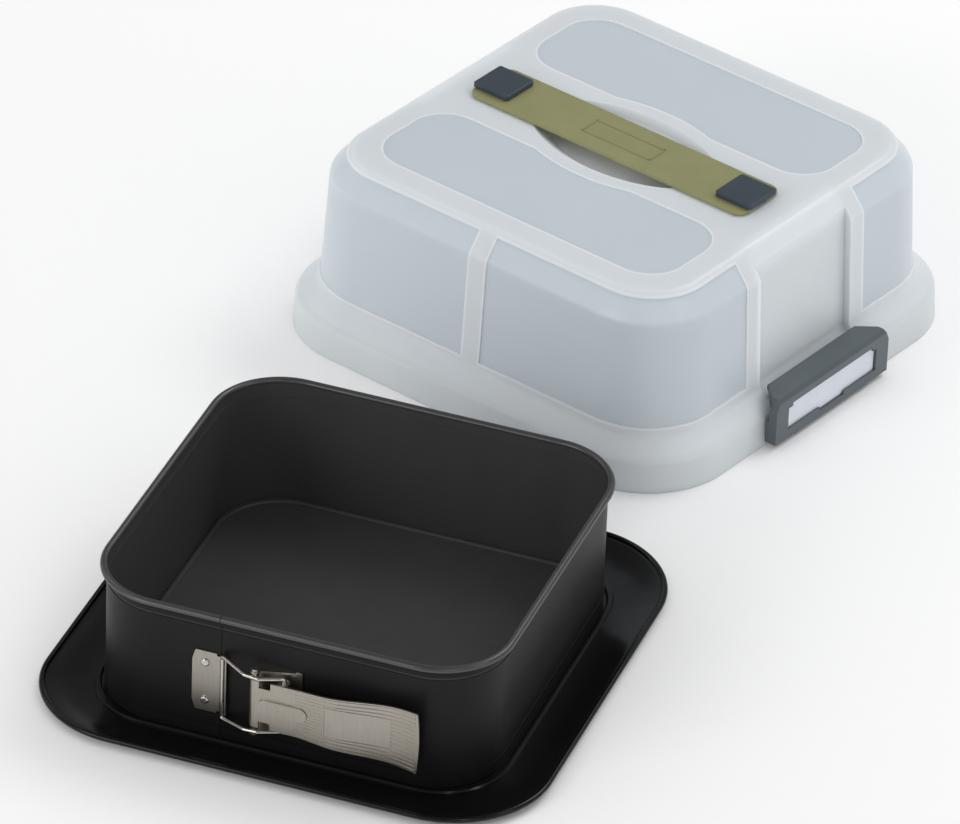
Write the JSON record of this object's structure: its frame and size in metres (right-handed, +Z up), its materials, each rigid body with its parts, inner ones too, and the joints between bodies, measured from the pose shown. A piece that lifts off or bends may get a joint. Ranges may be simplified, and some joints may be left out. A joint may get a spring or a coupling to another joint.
{
  "type": "springform pan with cover",
  "caption": "Square springform pan: tray base, lift-off hoop with an over-centre clasp, and a carrying cover with side latches and a strap handle.",
  "frame": {"origin": "centre of the tray base's flat underside, on the surface that pan and cover stand on", "axes": "+Z up, -Y towards the clasp on the pan's front wall, +X to the right seen from the clasp; the cover stands behind the pan, turned 18.5 degrees clockwise"},
  "size_m": [0.368, 0.729, 0.1284],
  "materials": {
    "tray_enamel": "gloss black",
    "hoop_coating": "satin black non-stick coating",
    "clasp_steel": "bright nickel-plated sheet steel",
    "rivet_steel": "plain steel",
    "wire_steel": "bright steel wire",
    "cover_plastic": "translucent frosted plastic",
    "slate_plastic": "dark slate, fine satin",
    "olive_plastic": "olive, satin, flexible",
    "card_white": "plain white card"
  },
  "bodies": {
    "tray": {"base_plate": "tray_enamel"},
    "hoop": {"hoop_shell": "hoop_coating", "catch_plate": "clasp_steel", "catch_rivets": "rivet_steel", "clasp_bracket": "clasp_steel", "bracket_rivets": "rivet_steel", "fulcrum_pin": "rivet_steel"},
    "lever": {"clasp_lever": "clasp_steel"},
    "bail": {"bail_wire": "wire_steel"},
    "cover": {"cover_shell": "cover_plastic", "strap_cap_left": "slate_plastic", "strap_cap_right": "slate_plastic"},
    "strap": {"handle_strap": "olive_plastic"},
    "right_latch": {"latch_right": "slate_plastic", "label_card_right": "card_white"},
    "left_latch": {"latch_left": "slate_plastic", "label_card_left": "card_white"}
  },
  "joints": [
    {"name": "hoop_lift", "type": "slide", "parent": "tray", "child": "hoop", "axis": [0, 0, 1], "range_m": [0, 0.1]},
    {"name": "clasp_open", "type": "hinge", "parent": "hoop", "child": "lever", "pos_m": [-0.013, -0.129, 0.0385], "axis": [0, 0, -1], "range_deg": [0, 150]},
    {"name": "bail_follow", "type": "hinge", "parent": "lever", "child": "bail", "pos_m": [0.004, -0.127, 0.0385], "axis": [0, 0, -1], "range_deg": [-150, 0]},
    {"name": "cover_lift", "type": "slide", "parent": "tray", "child": "cover", "axis": [0, 0, 1], "range_m": [0, 0.15]},
    {"name": "strap_pull", "type": "slide", "parent": "cover", "child": "strap", "axis": [0, 0, 1], "range_m": [0, 0.022], "deforming": ["handle_strap"]},
    {"name": "right_latch_swing", "type": "hinge", "parent": "cover", "child": "right_latch", "pos_m": [0.16272, 0.34225, 0.0286], "axis": [-0.3173, -0.9483, 0], "range_deg": [0, 70]},
    {"name": "left_latch_swing", "type": "hinge", "parent": "cover", "child": "left_latch", "pos_m": [-0.12272, 0.43775, 0.0286], "axis": [0.3173, 0.9483, 0], "range_deg": [0, 70]}
  ],
  "couplings": [
    {"joint": "bail_follow", "follows": "clasp_open", "ratio": -1}
  ]
}
